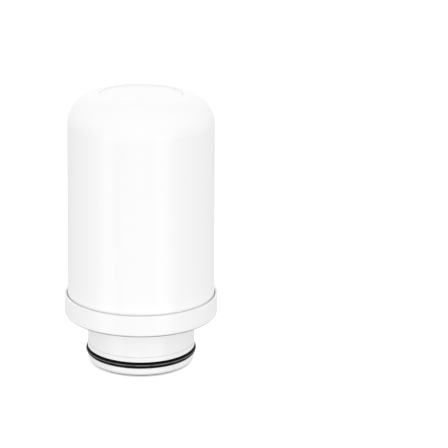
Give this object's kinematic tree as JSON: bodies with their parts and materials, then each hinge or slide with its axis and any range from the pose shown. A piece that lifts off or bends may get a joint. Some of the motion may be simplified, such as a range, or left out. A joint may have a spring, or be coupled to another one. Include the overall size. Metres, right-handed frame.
{
  "type": "plug-in water filter cartridge",
  "caption": "Dome-topped plug-in water filter cartridge with a smooth collar, a neck with an O-ring, a carbon block element and a spring-loaded anti-drip valve.",
  "frame": {"origin": "centre of the neck's lower rim, the face that the cartridge stands on", "axes": "+Z along the axis from the neck to the dome; +X through the middle of an inlet window"},
  "size_m": [0.053, 0.053, 0.0949],
  "materials": {
    "white_shell": "glossy moulded polypropylene",
    "white_cap": "satin-gloss moulded polypropylene",
    "black_rubber": "lightly greased nitrile rubber",
    "stainless": "bright stainless steel",
    "natural_plastic": "natural polypropylene",
    "element_plastic": "satin polypropylene",
    "felt": "spun-bonded felt",
    "carbon": "pressed activated carbon, dull and grainy",
    "hot_melt": "hot-melt adhesive",
    "foam": "closed-cell foam"
  },
  "bodies": {
    "cartridge": {"housing_shell": "white_shell", "base_cap": "white_cap", "neck_seal_ring": "black_rubber", "inlet_strainer": "stainless", "strainer_retainer": "natural_plastic", "valve_guide": "natural_plastic", "valve_spring": "stainless", "valve_seat": "natural_plastic", "valve_seat_seal": "black_rubber", "lower_end_cap": "element_plastic", "spigot_seals": "black_rubber", "core_tube": "natural_plastic", "core_liner": "felt", "carbon_block": "carbon", "sediment_wrap": "felt", "outer_netting": "natural_plastic", "lower_glue_bead": "hot_melt", "upper_glue_bead": "hot_melt", "upper_end_cap": "element_plastic", "top_cushion": "foam"},
    "poppet": {"valve_poppet": "natural_plastic", "poppet_seal": "black_rubber"}
  },
  "joints": [
    {"name": "valve_slide", "type": "slide", "parent": "cartridge", "child": "poppet", "axis": [0, 0, -1], "range_m": [0, 0.002], "stiffness_N_per_m": 100, "springref_m": -0.002, "deforming": ["valve_spring"]}
  ]
}
